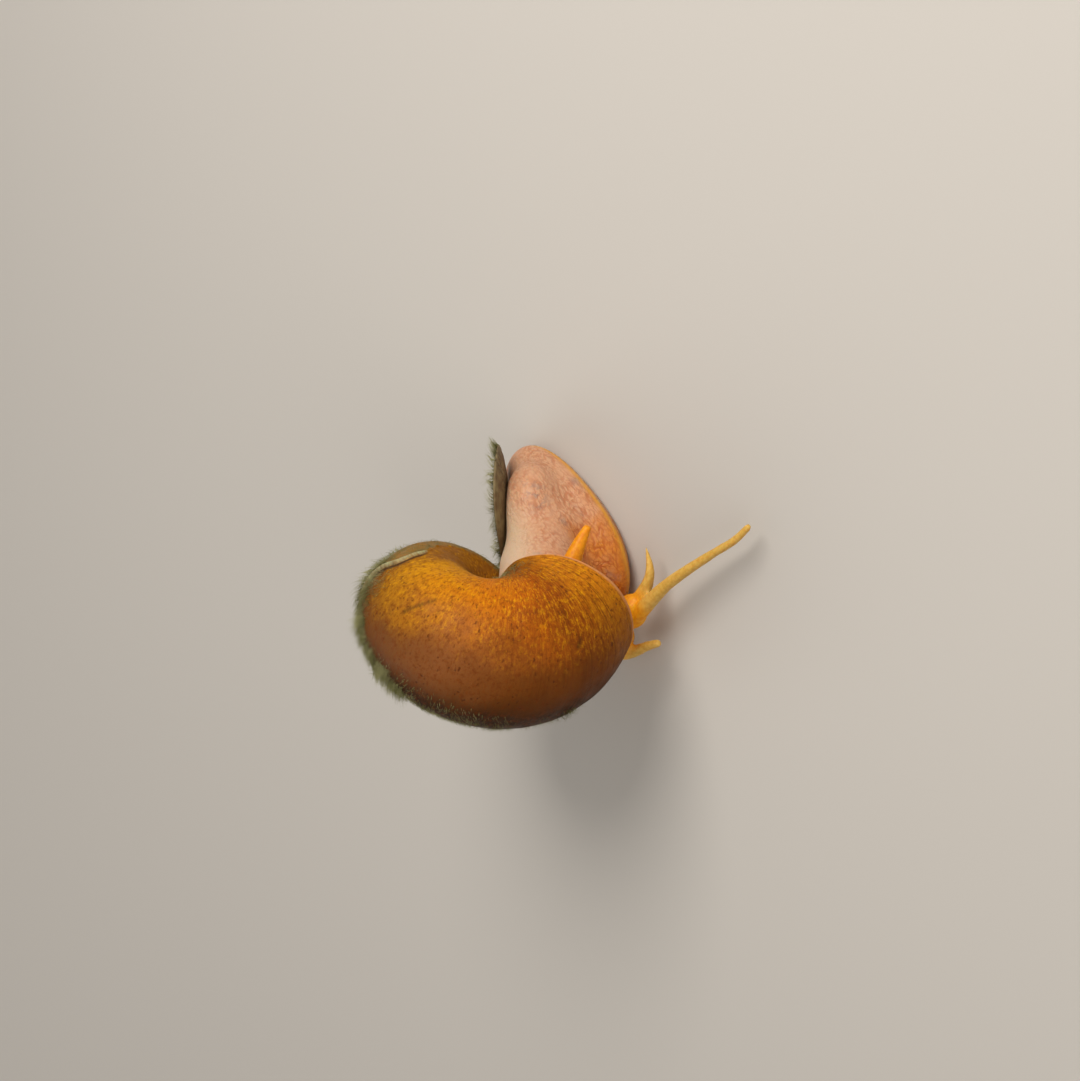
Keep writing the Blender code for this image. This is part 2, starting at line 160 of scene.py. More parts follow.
def shell_row(u):
    """The turns and the inset in mm of the row at u, which is 0 at the apex and 1 in the mouth."""
    row = round(u * shell_rows)
    for (t0, r0), (t1, r1) in zip(SHELL_ROWS, SHELL_ROWS[1:]):
        if row <= r1:
            return t0 + (t1 - t0) * (row - r0) / (r1 - r0), 0.0
    row -= SHELL_ROWS[-1][1]
    if row <= RIM_ROWS:
        turn = math.pi * row / RIM_ROWS
        over_rim = RIM_THICKNESS * (0.5 - 0.5 * math.cos(turn))
        return -RIM_TURNS + RIM_TURNS * math.sin(turn), over_rim
    share = (row - RIM_ROWS) / HOLLOW_ROWS
    inset = RIM_THICKNESS + HOLLOW_THICKENING * share
    return -RIM_TURNS + (HOLLOW_END + RIM_TURNS) * share, inset


def scratch_at(turns, degrees, start, end):
    """How dark a scratch from start to end is there, each end in turns and degrees round."""
    start, end = Vector(start), Vector(end)
    way = Vector((end.x - start.x, (end.y - start.y) / DEGREES_LIKE_A_TURN))
    spot = Vector((turns - start.x, (degrees - start.y) / DEGREES_LIKE_A_TURN))
    share = min(1.0, max(0.0, spot.dot(way) / way.length_squared))
    return math.exp(-(((spot - way * share).length / SCRATCH_WIDTH) ** 2))


def as_piece(name, shape):
    """A bmesh made into an object of the scene."""
    mesh = bpy.data.meshes.new(name)
    shape.to_mesh(mesh)
    shape.free()
    mesh.shade_smooth()
    piece = bpy.data.objects.new(name, mesh)
    bpy.context.scene.collection.objects.link(piece)
    return piece


shape = bmesh.new()
shell_rows = SHELL_ROWS[-1][1] + RIM_ROWS + HOLLOW_ROWS
bmesh.ops.create_grid(shape, x_segments=shell_rows, y_segments=SHELL_SIDES, size=0.5)
growth = shape.loops.layers.uv.new("growth")
places = {}
for vertex in shape.verts:
    u, v = vertex.co.x + 0.5, vertex.co.y + 0.5
    turns, inset = shell_row(u)
    around = (v - 0.5) * 2 * math.pi
    relief = shell_relief(turns, around) * max(0.0, 1.0 - inset / RIM_THICKNESS)
    vertex.co = on_coil(turns, around, inset - relief)
    places[vertex.index] = (turns, v, inset)
for face in shape.faces:
    for loop in face.loops:
        turns, v, _ = places[loop.vert.index]
        loop[growth].uv = (turns, v)
age = shape.verts.layers.float.new("old_shell")
ridge = shape.verts.layers.float.new("old_lip")
shadow = shape.verts.layers.float.new("under_old_lip")
inside = shape.verts.layers.float.new("inside")
scratched = shape.verts.layers.float.new("scratched")
for vertex in shape.verts:
    turns, v, inset = places[vertex.index]
    around = (v - 0.5) * 2 * math.pi
    beyond = turns - old_lip_at(around)
    vertex[age] = smooth_step(-beyond, 0.0, 0.004 + 0.2 * set_back(around))
    crisp = 1.0 - smooth_step(set_back(around), 0.0, 0.12)
    vertex[ridge] = math.exp(-(((beyond - CHALK_AT) / CHALK_WIDTH) ** 2)) * crisp
    vertex[shadow] = math.exp(-(((beyond - LIP_SHADOW_AT) / LIP_SHADOW_WIDTH) ** 2)) * crisp
    at_rim = 0.75 * smooth_step(turns, -0.009, -RIM_TURNS)
    vertex[inside] = min(1.0, at_rim + inset / RIM_THICKNESS)
    scratch = max(scratch_at(turns, math.degrees(around), *ends) for ends in SCRATCHES)
    vertex[scratched] = scratch * (0.75 + 0.5 * noise.noise(vertex.co / MM * 1.5))
bmesh.ops.remove_doubles(shape, verts=shape.verts, dist=MERGE_WITHIN)
bmesh.ops.holes_fill(shape, edges=[edge for edge in shape.edges if edge.is_boundary], sides=0)
bmesh.ops.recalc_face_normals(shape, faces=shape.faces)
shell_tree = BVHTree.FromBMesh(shape)
shell = as_piece("shell_whorls", shape)


class Finish:
    """A node material, to which each call adds one node or one small step."""

    def __init__(self, name):
        self.material = bpy.data.materials.new(name)
        self.material.use_nodes = True
        self.shader = self.material.node_tree.nodes["Principled BSDF"]

    def node(self, kind, sockets=None, **settings):
        """A new node with its settings, and its sockets plugged."""
        made = self.material.node_tree.nodes.new(kind)
        for name, value in settings.items():
            setattr(made, name, value)
        self.plug(made, sockets or {})
        return made

    def plug(self, made, sockets):
        """Each socket linked to another's output, or set to a number or a colour."""
        for name, value in sockets.items():
            socket = made.inputs[name]
            if isinstance(value, bpy.types.NodeSocket):
                self.material.node_tree.links.new(value, socket)
            elif socket.type == "RGBA":
                socket.default_value = (*value, 1.0)
            else:
                socket.default_value = value

    def attribute(self, name):
        """A value that the mesh carries at each vertex."""
        return self.node("ShaderNodeAttribute", attribute_name=name).outputs["Fac"]

    def noise(self, where, scale, detail, roughness=0.55):
        """Soft blotches, from 0 to 1."""
        sockets = {"Vector": where, "Scale": scale, "Detail": detail, "Roughness": roughness}
        return self.node("ShaderNodeTexNoise", sockets).outputs["Fac"]

    def between(self, value, low, high, way="SMOOTHSTEP", first=0.0, last=1.0):
        """The first value below low, the last above high, and in between between them."""
        sockets = {
            "Value": value, "From Min": low, "From Max": high, "To Min": first, "To Max": last
        }
        node = self.node("ShaderNodeMapRange", sockets, interpolation_type=way)
        return node.outputs["Result"]

    def maths(self, operation, a, b, c=0.0):
        """One step of arithmetic."""
        return self.node("ShaderNodeMath", {0: a, 1: b, 2: c}, operation=operation).outputs[0]

    def times(self, a, b):
        """The product of two values."""
        return self.maths("MULTIPLY", a, b)

    def ramp(self, value, stops):
        """A colour that runs through the stops, each a place from 0 to 1 and a colour."""
        node = self.node("ShaderNodeValToRGB", {"Fac": value})
        marks = node.color_ramp.elements
        while len(marks) < len(stops):
            marks.new(0.5)
        for mark, (place, colour) in zip(marks, stops):
            mark.position = place
            mark.color = (*colour, 1.0)
        return node.outputs["Color"]

    def blend(self, share, below, above):
        """Two colours, the second laid over the first by its share."""
        node = self.node("ShaderNodeMix", data_type="RGBA")
        self.plug(node, {0: share, 6: below, 7: above})
        return node.outputs[2]

    def stretched(self, where, scale):
        """A pattern's place, drawn out by a different amount each way."""
        node = self.node("ShaderNodeMapping", {"Vector": where, "Scale": scale})
        return node.outputs["Vector"]

    def bump(self, height, distance, strength, under=None):
        """The surface's lie with a fine relief of that height, over another relief."""
        sockets = {"Height": height, "Distance": distance, "Strength": strength}
        if under is not None:
            sockets["Normal"] = under
        return self.node("ShaderNodeBump", sockets).outputs["Normal"]


COLOURS_FROM = -0.48
# Sunlit and shaded copies of the horn's colours along the coil, for painted light and painted
# shade.
SUNLIT_HORN = (
    (0.00, (0.24, 0.09, 0.005)), (0.14, (0.52, 0.220, 0.002)), (0.42, (0.53, 0.158, 0.002)),
    (0.65, (0.42, 0.095, 0.001)), (0.78, (0.25, 0.055, 0.001)), (0.88, (0.40, 0.120, 0.002)),
    (1.00, (0.56, 0.190, 0.006)),
)
SHADED_HORN = (
    (0.00, (0.15, 0.052, 0.007)), (0.25, (0.15, 0.052, 0.011)), (0.43, (0.22, 0.075, 0.020)),
    (0.60, (0.18, 0.052, 0.006)), (0.85, (0.15, 0.040, 0.002)), (1.00, (0.30, 0.100, 0.003)),
)
# Painted shade: near-black brown for the side of the tube turned from the light.
PAINTED_SHADE_BROWN = (0.030, 0.012, 0.003)
SPIRE_BROWN = (0.14, 0.055, 0.010)
NAVEL_BROWN = (0.20, 0.075, 0.008)
# The gold of the mottle, which is laid only on the painted sunlit side.
GOLD = (0.64, 0.29, 0.002)
RUST = (0.17, 0.036, 0.001)
GRAIN_BROWN = (0.13, 0.026, 0.001)
STREAK_BROWN = (0.10, 0.026, 0.001)
STREAK_GOLD = (0.60, 0.27, 0.01)
FLECK_BROWN = (0.065, 0.013, 0.001)
OLD_HORN = (0.27, 0.135, 0.022)
GREEN_FILM = (0.15, 0.115, 0.032)
LIP_SHADOW = (0.050, 0.022, 0.012)
LIP_CHALK = (0.47, 0.51, 0.30)
SCRATCH_BROWN = (0.050, 0.022, 0.003)
MOUTH_PINK = (0.60, 0.27, 0.12)

horn = Finish("shell horn")
space = horn.node("ShaderNodeTexCoord").outputs["Object"]
growth_map = horn.node("ShaderNodeUVMap", uv_map="growth").outputs["UV"]
split = horn.node("ShaderNodeSeparateXYZ", {0: growth_map})
turns_map, round_map = split.outputs["X"], split.outputs["Y"]


def grown_noise(a_turn, a_round, detail, roughness=0.55):
    """Blotches that follow the growth, so many a turn of the coil and so many round the tube."""
    return horn.noise(horn.stretched(growth_map, (a_turn, a_round, 1.0)), 1.0, detail, roughness)


drift = horn.maths("SUBTRACT", horn.noise(space, 150.0, 4.0), 0.5)
along_coil = horn.maths("MULTIPLY_ADD", drift, 0.12, turns_map)
round_tube = horn.maths("MULTIPLY_ADD", drift, 0.20, round_map)
# Painted light and shade: the side of the tube towards the key light takes the sunlit colours and
# the side away from it the darker shaded ones; on the older part of the turn the sunlit side
# reaches further round.
sunlit = horn.ramp(horn.between(along_coil, COLOURS_FROM, 0.0, "LINEAR"), SUNLIT_HORN)
shaded = horn.ramp(horn.between(along_coil, COLOURS_FROM, 0.0, "LINEAR"), SHADED_HORN)
sunlit_reaches_further = horn.between(turns_map, -0.29, -0.37, "SMOOTHSTEP", 0.0, -0.055)
light_line = horn.maths("ADD", round_tube, sunlit_reaches_further)
colour = horn.blend(horn.between(light_line, 0.30, 0.49), sunlit, shaded)
# Painted shade: round the side turned from the key light the horn darkens to near-black brown, the
# band beginning further round the tube the further it lies back from the lip.
shade_band = horn.maths("MULTIPLY_ADD", turns_map, 0.25, round_map)
shade_band = horn.maths("MULTIPLY_ADD", drift, 0.07, shade_band)
colour = horn.blend(horn.between(shade_band, 0.445, 0.555), colour, PAINTED_SHADE_BROWN)
colour = horn.blend(horn.between(round_tube, 0.64, 0.80), colour, SPIRE_BROWN)
colour = horn.blend(horn.between(round_tube, 0.23, 0.10), colour, NAVEL_BROWN)
# The gold mottle and the light streaks near the lip are the horn's own pattern, but they are laid
# only on the painted sunlit side, so there they also paint light.
lit = horn.between(light_line, 0.50, 0.30)
mottle = grown_noise(200.0, 62.0, 5.0, 0.78)
blotch = horn.noise(space, 330.0, 4.0, 0.65)
gold = horn.times(horn.between(mottle, 0.48, 0.64), horn.between(blotch, 0.32, 0.56))
colour = horn.blend(horn.times(horn.times(gold, lit), 0.85), colour, GOLD)
colour = horn.blend(horn.times(horn.between(mottle, 0.50, 0.35), 0.55), colour, RUST)
grainy = horn.noise(space, 1300.0, 4.0, 0.7)
colour = horn.blend(horn.times(horn.between(grainy, 0.50, 0.66), 0.55), colour, GRAIN_BROWN)
streaks = grown_noise(330.0, 7.0, 3.0)
near_lip = horn.between(turns_map, -0.26, -0.04)
dark_streak = horn.times(horn.between(streaks, 0.52, 0.66), 0.6)
colour = horn.blend(horn.times(dark_streak, near_lip), colour, STREAK_BROWN)
light_streak = horn.times(horn.between(streaks, 0.45, 0.34), 0.25)
light_streak = horn.times(light_streak, horn.times(near_lip, lit))
colour = horn.blend(light_streak, colour, STREAK_GOLD)
fleck_place = horn.node("ShaderNodeVectorMath", {
    0: horn.stretched(growth_map, (165.0, 56.0, 1.0)),
    1: horn.node("ShaderNodeTexNoise", {"Vector": space, "Scale": 1100.0}).outputs["Color"],
}, operation="ADD").outputs[0]
flecks = horn.node("ShaderNodeTexVoronoi", {"Vector": fleck_place, "Scale": 1.0})
fleck = horn.between(flecks.outputs["Distance"], 0.30, 0.12)
fleck = horn.times(fleck, horn.between(horn.noise(space, 380.0, 3.0), 0.40, 0.60))
colour = horn.blend(horn.times(fleck, 0.65), colour, FLECK_BROWN)
old = horn.attribute("old_shell")
film = horn.between(horn.noise(space, 420.0, 5.0), 0.36, 0.64)
old_colour = horn.blend(film, OLD_HORN, GREEN_FILM)
colour = horn.blend(horn.times(old, 0.85), colour, old_colour)
chalky = horn.times(horn.attribute("old_lip"), horn.between(film, -0.6, 0.8))
colour = horn.blend(horn.attribute("under_old_lip"), colour, LIP_SHADOW)
colour = horn.blend(chalky, colour, LIP_CHALK)
colour = horn.blend(horn.attribute("scratched"), colour, SCRATCH_BROWN)
colour = horn.blend(horn.attribute("inside"), colour, MOUTH_PINK)
relief = horn.bump(grown_noise(620.0, 5.0, 2.0), 0.00007, 0.7)
relief = horn.bump(grainy, 0.00005, 0.6, relief)
relief = horn.bump(horn.times(fleck, -1.0), 0.00005, 0.8, relief)
gloss = horn.between(horn.noise(space, 500.0, 3.0), 0.3, 0.7, "LINEAR", 0.42, 0.64)
horn.plug(horn.shader, {
    "Base Color": colour, "Roughness": gloss, "Normal": relief, "Specular IOR Level": 0.09,
    "Subsurface Weight": 0.05, "Subsurface Radius": (1.0, 0.25, 0.03), "Subsurface Scale": 0.002,
})
shell.data.materials.append(horn.material)
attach(shell, "root")
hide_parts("shell")

# The operculum: the thin horny door that the foot carries on its back. It is a dished oval plate
# with growth rings round a nucleus off its middle, dull brown within and mossy without.
DOOR_CENTRE = Vector((1.4, 8.3, 10.9))
DOOR_ALONG = Vector((0.686, 0.716, -0.126)).normalized()
DOOR_OUT = Vector((-0.462, 0.549, 0.706))
DOOR_OUT = (DOOR_OUT - DOOR_ALONG * DOOR_OUT.dot(DOOR_ALONG)).normalized()
DOOR_ACROSS = DOOR_ALONG.cross(DOOR_OUT)
DOOR_HALF_LENGTH = 10.4
DOOR_HALF_WIDTH = 7.6
DOOR_THICKNESS = 0.75
DOOR_DISH = 0.9
DOOR_WAVE = 0.15
DOOR_RINGS = 26
DOOR_SIDES = 96
RING_HEIGHT = 0.05
RING_ANGLE = 46
GRAIN_HEIGHT = 0.06
SMOOTH_EDGE = 0.97
NUCLEUS_SHIFT = 0.22
HIND_WIDENING = 0.25
BARE_HORN = ((0.20, 0.155, 0.070), (0.12, 0.075, 0.030))
MOSSY_HORN = ((0.085, 0.060, 0.028), (0.12, 0.145, 0.055))


def on_door(reach, around, side):
    """A point of the plate's face: reach 0 at the nucleus and 1 at the edge, side -1 or 1."""
    along = math.sin(around)
    across = math.cos(around) * (1.0 + HIND_WIDENING * along)
    centre_pull = NUCLEUS_SHIFT * (1.0 - reach)
    rings = RING_HEIGHT * math.sin(reach * RING_ANGLE + 0.7 * math.sin(around * 2))
    spot = Vector((math.cos(around), math.sin(around), reach * 5)) * 1.7
    rings += GRAIN_HEIGHT * noise.noise(spot)
    thick = 0.5 * DOOR_THICKNESS * math.sqrt(max(0.0, 1.0 - reach**6))
    lift = DOOR_DISH * (reach**2 - 0.5) + side * (thick + (rings if reach < SMOOTH_EDGE else 0.0))
    wave = DOOR_WAVE * math.sin(around * 3 + 1.0) * reach**3
    point = (
        DOOR_ACROSS * (across * reach + centre_pull) * DOOR_HALF_WIDTH
        + DOOR_ALONG * along * reach * DOOR_HALF_LENGTH
        + DOOR_OUT * (lift + wave)
    )
    return (DOOR_CENTRE + point) * MM


shape = bmesh.new()
bmesh.ops.create_grid(shape, x_segments=2 * DOOR_RINGS, y_segments=DOOR_SIDES, size=0.5)
outer = {}
for vertex in shape.verts:
    u, around = vertex.co.x + 0.5, (vertex.co.y + 0.5) * 2 * math.pi
    row = round(u * 2 * DOOR_RINGS)
    reach = 1.0 - abs(row / DOOR_RINGS - 1.0)
    outer[vertex.index] = 1.0 if row > DOOR_RINGS else 0.0
    vertex.co = on_door(reach, around, 1 if row > DOOR_RINGS else -1)
outer_face = shape.verts.layers.float.new("outer_face")
for vertex in shape.verts:
    vertex[outer_face] = outer[vertex.index]
bmesh.ops.remove_doubles(shape, verts=shape.verts, dist=MERGE_WITHIN)
bmesh.ops.recalc_face_normals(shape, faces=shape.faces)
door = as_piece("operculum_plate", shape)
door_horn = Finish("operculum horn")
space = door_horn.node("ShaderNodeTexCoord").outputs["Object"]
grime = door_horn.between(door_horn.noise(space, 500.0, 5.0), 0.35, 0.65)
face_out = door_horn.attribute("outer_face")
bare = door_horn.blend(grime, *BARE_HORN)
mossy = door_horn.blend(grime, *MOSSY_HORN)
colour = door_horn.blend(face_out, bare, mossy)
door_horn.plug(door_horn.shader, {
    "Base Color": colour, "Roughness": 0.7,
    "Normal": door_horn.bump(door_horn.noise(space, 2200.0, 4.0), 0.0001, 0.7),
})
door.data.materials.append(door_horn.material)
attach(door, "root")
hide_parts("operculum")

# The body: one moist skin over the foot, neck, head, mantle, feelers and lobes, whitish pink on
# the foot and orange to yellow in front. The solids of the body and a fold under the neck are
# swollen till they touch, remeshed into one skin, smoothed and drawn back in, without a seam.
FLESH_NODES = (
    "foot", "neck", "mantle", "head", "siphon", "nuchal_lobe_right",
    "tentacle_left_1", "tentacle_left_2", "tentacle_left_3",
    "tentacle_right_1", "tentacle_right_2", "tentacle_right_3",
    "palp_left", "palp_right", "eyestalk_left", "eyestalk_right",
)
MERGE_FLESH_WITHIN = 0.000001
SWELL = 0.00022
SKIN_VOXEL = 0.00027
SMOOTH_PASSES = 45
SMOOTH_THIN_PARTS = 0.08
FOLD_CENTRE = Vector((1.0, -11.7, 9.8))
FOLD_RADII = Vector((4.2, 2.0, 3.4))

shape = bmesh.new()
for name in FLESH_NODES:
    shape.from_mesh(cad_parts[name].data)
bmesh.ops.remove_doubles(shape, verts=shape.verts, dist=MERGE_FLESH_WITHIN)
fold = Matrix.LocRotScale(FOLD_CENTRE * MM, None, FOLD_RADII * MM)
bmesh.ops.create_icosphere(shape, subdivisions=3, radius=1.0, matrix=fold)
shape.normal_update()
for vertex in shape.verts:
    vertex.co += vertex.normal * SWELL
body = as_piece("body_skin", shape)
remesh = body.modifiers.new("one skin", "REMESH")
remesh.mode = "VOXEL"
remesh.voxel_size = SKIN_VOXEL


def bake_modifiers(piece):
    """Keep the shape that the modifiers give, and drop them."""
    evaluated = piece.evaluated_get(bpy.context.evaluated_depsgraph_get())
    mesh = bpy.data.meshes.new_from_object(evaluated)
    piece.modifiers.clear()
    piece.data = mesh


def points_of(mesh):
    """The mesh's vertices as rows of x, y, z."""
    flat = np.empty(len(mesh.vertices) * 3, np.float32)
    mesh.vertices.foreach_get("co", flat)
    return flat.reshape(-1, 3).astype(float)


def ease(value, low, high):
    """0 below low, 1 above high and smooth between, for arrays."""
    share = np.clip((value - low) / (high - low), 0.0, 1.0)
    return share * share * (3 - 2 * share)


# Only the thick parts are smoothed in full, because the feelers, the siphon and the sole's edge
# would shrink. Here and in the zones of colour x is to the left, -y ahead and z up, in mm.
bake_modifiers(body)
x, y, z = (points_of(body.data) / MM).T
in_body = ease(y, -16.5, -12.5) * (1 - ease(x, 10.5, 11.5) * ease(z, 9.0, 11.0))
in_body *= ease(z, 0.6, 2.0)
thick = body.vertex_groups.new(name="thick")
for i, weight in enumerate(SMOOTH_THIN_PARTS + (1 - SMOOTH_THIN_PARTS) * in_body):
    thick.add([i], float(weight), "REPLACE")
soften = body.modifiers.new("soften", "SMOOTH")
soften.factor = 0.5
soften.iterations = SMOOTH_PASSES
soften.vertex_group = "thick"
bake_modifiers(body)
body.vertex_groups.clear()

shape = bmesh.new()
shape.from_mesh(body.data)
shape.normal_update()
for vertex in shape.verts:
    vertex.co -= vertex.normal * SWELL
    vertex.co.z = max(vertex.co.z, 0.0)
shape.to_mesh(body.data)
shape.free()
body.data.shade_smooth()

x, y, z = (points_of(body.data) / MM).T
front = ease(-y, 13.5, 17.0) * (1 - ease(z, 11.0, 14.0))
feeler = np.maximum(ease(x, 7.5, 10.5) * ease(-y, 12.0, 15.0), ease(-y, 21.0, 22.5))
feeler = np.maximum(feeler, ease(x, 9.0, 11.0) * ease(-y, 10.5, 12.0))
feeler *= 1 - ease(z, 8.0, 9.0)
siphon = ease(x, 10.8, 12.5) * ease(z, 10.0, 11.5) * ease(-y, 5.0, 7.0)
lobe = ease(-x, 5.0, 6.5) * ease(-y, 11.0, 12.0) * (1 - ease(-y, 15.5, 16.5))
siphon = np.maximum(siphon, lobe * ease(z, 9.5, 10.5) * (1 - ease(z, 14.0, 16.0)))
low_front = ease(-y, -6.5, 10.5) * (1 - 0.8 * ease(z, 8.0, 13.0))
grey_patch = np.exp(-(((y - 4.5) / 3.2) ** 2 + ((z - 10.8) / 1.5) ** 2))
stalk = ease(z, 10.0, 14.0) * ease(-x + 0.5 * z, -3.0, 3.0)
zones = {
    "orange": np.clip(0.12 + 0.62 * low_front + front + siphon, 0, 1),
    "cheek": front,
    "siphon": siphon,
    "feeler": feeler,
    "greyed": grey_patch * ease(x, 5.0, 8.0),
    "pale": stalk * (1 - siphon) * (1 - front),
    "rim": np.exp(-(((z - 2.2) / 0.5) ** 2)) * (1 - ease(-y, 12.0, 15.0)),
    "plain": np.clip(front + siphon, 0, 1),
}
for name, values in zones.items():
    layer = body.data.attributes.new(name, "FLOAT", "POINT")
    layer.data.foreach_set("value", values.astype(np.float32))

PINK_AND_VEINS = ((0.58, 0.32, 0.19), (0.46, 0.190, 0.095))
ORANGE_AND_VEINS = ((0.58, 0.19, 0.010), (0.41, 0.092, 0.004))
SKIN_GREY = (0.22, 0.17, 0.16)
STALK_WHITE = (0.70, 0.54, 0.38)
SOLE_RIM = (0.72, 0.34, 0.025)
FRONT_COLOURS = {
    "siphon": ((0.78, 0.30, 0.002), (0.68, 0.22, 0.001)),
    "cheek": ((0.84, 0.38, 0.012), (0.74, 0.26, 0.004)),
    "feeler": ((0.66, 0.42, 0.095), (0.57, 0.32, 0.055)),
}
VEINS_A_METRE = 1900.0
VEIN_SWIRL = 3.2

flesh = Finish("snail flesh")
space = flesh.node("ShaderNodeTexCoord").outputs["Object"]
drawn_out = flesh.stretched(space, (1.0, 0.6, 1.0))
swirl = flesh.node("ShaderNodeTexNoise", {"Vector": drawn_out, "Scale": 700.0, "Detail": 3.0})
swirled = flesh.node("ShaderNodeVectorMath", {
    0: flesh.stretched(drawn_out, (VEINS_A_METRE,) * 3),
    1: flesh.stretched(swirl.outputs["Color"], (VEIN_SWIRL,) * 3),
}, operation="ADD").outputs[0]
net = flesh.node("ShaderNodeTexVoronoi", {"Vector": swirled, "Scale": 1.0}, feature="F1")
veins = flesh.between(net.outputs["Distance"], 0.25, 0.80)
patches = flesh.noise(drawn_out, 420.0, 5.0, 0.6)
patches = flesh.between(patches, 0.34, 0.66, "SMOOTHSTEP", 0.4, 1.0)
plain = flesh.between(flesh.attribute("plain"), 0.0, 1.0, "LINEAR", 1.0, 0.15)
veins = flesh.times(flesh.times(veins, patches), plain)
broad = flesh.maths("SUBTRACT", flesh.noise(space, 190.0, 3.0), 0.5)
cool = flesh.blend(veins, *PINK_AND_VEINS)
warm = flesh.blend(veins, *ORANGE_AND_VEINS)
orange_share = flesh.maths("MULTIPLY_ADD", broad, 0.8, flesh.attribute("orange"))
colour = flesh.blend(flesh.between(orange_share, 0.15, 0.9), cool, warm)
clouds = flesh.noise(flesh.stretched(space, (1.0, 0.45, 1.0)), 300.0, 4.0)
ticks = flesh.noise(flesh.stretched(space, (1.0, 1.0, 0.5)), 1300.0, 4.0)
ticks = flesh.times(flesh.between(ticks, 0.50, 0.60), flesh.attribute("greyed"))
grey = flesh.maths("MAXIMUM", flesh.between(clouds, 0.56, 0.72), ticks)
colour = flesh.blend(flesh.times(grey, 0.5), colour, SKIN_GREY)
pale = flesh.between(flesh.attribute("pale"), 0.0, 1.0, "LINEAR", 0.0, 0.75)
colour = flesh.blend(pale, colour, STALK_WHITE)
rim = flesh.between(flesh.attribute("rim"), 0.0, 1.0, "LINEAR", 0.0, 0.85)
colour = flesh.blend(rim, colour, SOLE_RIM)
rings = flesh.between(flesh.noise(space, 1600.0, 3.0), 0.35, 0.70)
for zone, light_and_dark in FRONT_COLOURS.items():
    zone_colour = flesh.blend(rings, *light_and_dark)
    colour = flesh.blend(flesh.attribute(zone), colour, zone_colour)
relief = flesh.bump(flesh.times(veins, -1.0), 0.00010, 0.8)
relief = flesh.bump(flesh.noise(space, 3200.0, 4.0), 0.00005, 0.6, relief)
damp = flesh.between(flesh.noise(space, 600.0, 3.0), 0.3, 0.7, "LINEAR", 0.34, 0.56)
flesh.plug(flesh.shader, {
    "Base Color": colour, "Roughness": damp, "Normal": relief, "Specular IOR Level": 0.28,
    "Subsurface Weight": 0.25, "Subsurface Radius": (1.0, 0.42, 0.2), "Subsurface Scale": 0.0016,
})
body.data.materials.append(flesh.material)
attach(body, "root")
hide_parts(*FLESH_NODES)

# The eyes: two small black beads under a clear wet skin, which makes them shine. Each is set in
# the blunt tip of a short stalk beside its tentacle, with its back sunk in the flesh.
EYES = {"left": (6.2, -18.4, 8.7), "right": (-5.6, -18.6, 9.2)}
EYE_RADIUS = 0.75
EYE_BLACK = (0.012, 0.009, 0.007)
eye_black = Finish("eye black")
eye_black.plug(eye_black.shader, {"Base Color": EYE_BLACK, "Roughness": 0.12, "Coat Weight": 0.5})
for side, centre in EYES.items():
    shape = bmesh.new()
    bmesh.ops.create_uvsphere(shape, u_segments=32, v_segments=20, radius=EYE_RADIUS * MM)
    bmesh.ops.translate(shape, vec=Vector(centre) * MM, verts=shape.verts)
    eye = as_piece(f"eye_bead_{side}", shape)
    eye.data.materials.append(eye_black.material)
    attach(eye, "root")
    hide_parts(f"eye_{side}")

# The algae: short green-grey threads that grow on the older half of the shell, along its underside
# and on the outside of the operculum. Each is a thin bent spike rooted in the horn, and they lean
# together in clumps; a few stand in longer tufts.
SEED = 7
THREADS_ON_SHELL = 13000
THREADS_ON_DOOR = 2600
THREAD_WIDTH = 0.028
THREAD_BEND = 0.55
THREAD_ROOTED = 0.12
SWEEP = Vector((-0.5, -0.6, 0.1))
ALGAE_REACH = 1.7
CLUMPS_A_MM = 0.33
UNDERSIDE_FROM = math.radians(22)
OLD_SHELL_SHARE = 0.16
SUTURE_SHARE = 0.15
SUTURE_AT = -126
SUTURE_WIDTH = 16
BAKE_PATCH = 0.003
BAKE_SPAN = 0.99
BAKE_DOOR_MIDDLE = 0.497
BAKE_DOOR_REACH = 0.48
ALGAE_GREENS = ((0.17, 0.165, 0.050), (0.31, 0.30, 0.13))
TUFTS = (  # turns, degrees round the tube, threads, length in mm, lean
    (-0.425, 24, 160, 2.3, (-0.3, 0.5, 0.8)),
    (-0.355, 40, 150, 2.3, (-0.5, -0.6, 0.2)),
    (-0.325, 50, 130, 2.1, (-0.5, -0.6, 0.2)),
    (-0.10, 30, 90, 1.2, (-0.3, -0.6, 0.0)),
)

random.seed(SEED)
noise.seed_set(SEED)
shape = bmesh.new()
bmesh.ops.create_cone(shape, cap_ends=True, segments=3, radius1=1.0, radius2=0.2, depth=1.0)
bmesh.ops.translate(shape, vec=(0, 0, 0.5), verts=shape.verts)
flanks = [edge for edge in shape.edges if abs(edge.verts[0].co.z - edge.verts[1].co.z) > 0.5]
bmesh.ops.subdivide_edges(shape, edges=flanks, cuts=1)
bake_map = shape.loops.layers.uv.new("OFBake")
for face in shape.faces:
    for loop in face.loops:
        spot = loop.vert.co
        loop[bake_map].uv = (0.5 * BAKE_PATCH * (1 + spot.x), BAKE_PATCH * spot.z)
thread = bpy.data.meshes.new("thread")
shape.to_mesh(thread)
shape.free()
thread_spots = points_of(thread)
thread_patch = np.empty(len(thread.loops) * 2, np.float32)
thread.uv_layers["OFBake"].data.foreach_get("uv", thread_patch)
thread_patch = thread_patch.reshape(-1, 2)


